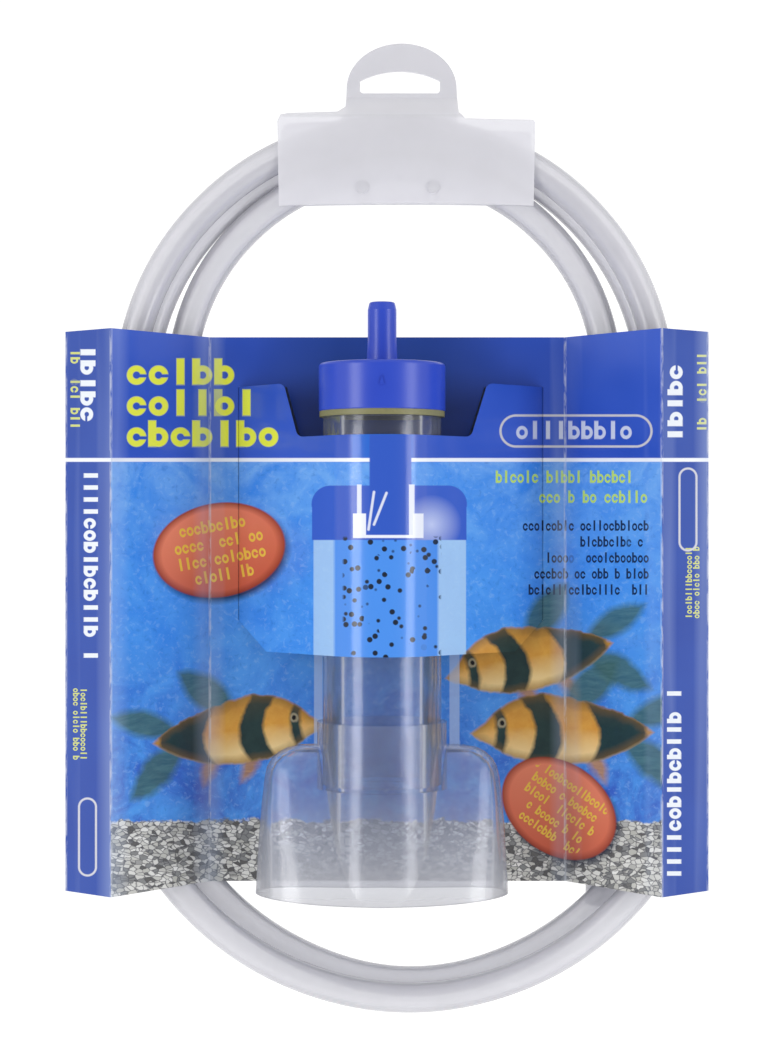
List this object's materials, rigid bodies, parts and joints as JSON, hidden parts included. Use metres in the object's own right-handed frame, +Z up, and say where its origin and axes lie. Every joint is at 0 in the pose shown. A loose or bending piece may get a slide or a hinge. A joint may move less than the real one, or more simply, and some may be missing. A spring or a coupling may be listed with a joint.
{
  "type": "gravel vacuum siphon",
  "caption": "Aquarium gravel vacuum: clear tube with blue spigot cap, flap valve and wide oval nozzle, with its coiled clear hose, in a hanging printed card sleeve.",
  "frame": {"origin": "centre of the hang slot", "axes": "+Z up along the siphon tube, towards the spigot; the printed front and the siphon face -Y; +X is to the right seen from the front"},
  "size_m": [0.2516, 0.0755, 0.3862],
  "materials": {
    "cap_blue": "royal blue gloss polypropylene",
    "valve_white": "white moulded plastic",
    "flap_white": "thin white moulded flap",
    "strainer_grey": "pale moulded disc with small holes",
    "seal_olive": "olive elastomer ring",
    "tube_clear": "clear rigid plastic",
    "nozzle_clear": "clear moulded plastic, faint blue-grey",
    "hose_clear": "milky clear soft vinyl",
    "clip_frosted": "frosted translucent polypropylene",
    "clip_posts": "frosted translucent polypropylene",
    "card_back": "plain grey-blue board",
    "card_recess": "glossy board with a blue and gravel print",
    "card_strap": "glossy board with a simple diagram print",
    "card_print": "glossy board with a blue water and gravel print",
    "card_side": "glossy board, plain blue print"
  },
  "bodies": {
    "pack": {"hanger_front_leaf": "clip_frosted", "hanger_back_leaf": "clip_frosted", "hanger_posts": "clip_posts", "hose": "hose_clear", "card_back_panel": "card_back", "card_rear_side_left": "card_side", "card_rear_side_right": "card_side", "card_front_side_left": "card_side", "card_front_side_right": "card_side", "card_wing_left": "card_print", "card_wing_right": "card_print", "card_centre_panel": "card_recess", "card_strap": "card_strap"},
    "siphon": {"siphon_tube": "tube_clear", "cap_seal_ring": "seal_olive"},
    "cap": {"cap_shell": "cap_blue", "valve_body": "valve_white", "strainer_disc": "strainer_grey"},
    "flap": {"valve_flap": "flap_white"},
    "nozzle": {"nozzle": "nozzle_clear"}
  },
  "joints": [
    {"name": "siphon_slide", "type": "slide", "parent": "pack", "child": "siphon", "axis": [0, 0, 1], "range_m": [-0.004, 0.025]},
    {"name": "cap_lift", "type": "slide", "parent": "siphon", "child": "cap", "axis": [0, 0, 1], "range_m": [0, 0.025]},
    {"name": "flap_hinge", "type": "hinge", "parent": "cap", "child": "flap", "pos_m": [-0.0153, -0.026, -0.1289], "axis": [0, -1, 0], "range_deg": [0, 50]},
    {"name": "nozzle_pull", "type": "slide", "parent": "siphon", "child": "nozzle", "axis": [0, 0, -1], "range_m": [0, 0.024]}
  ]
}
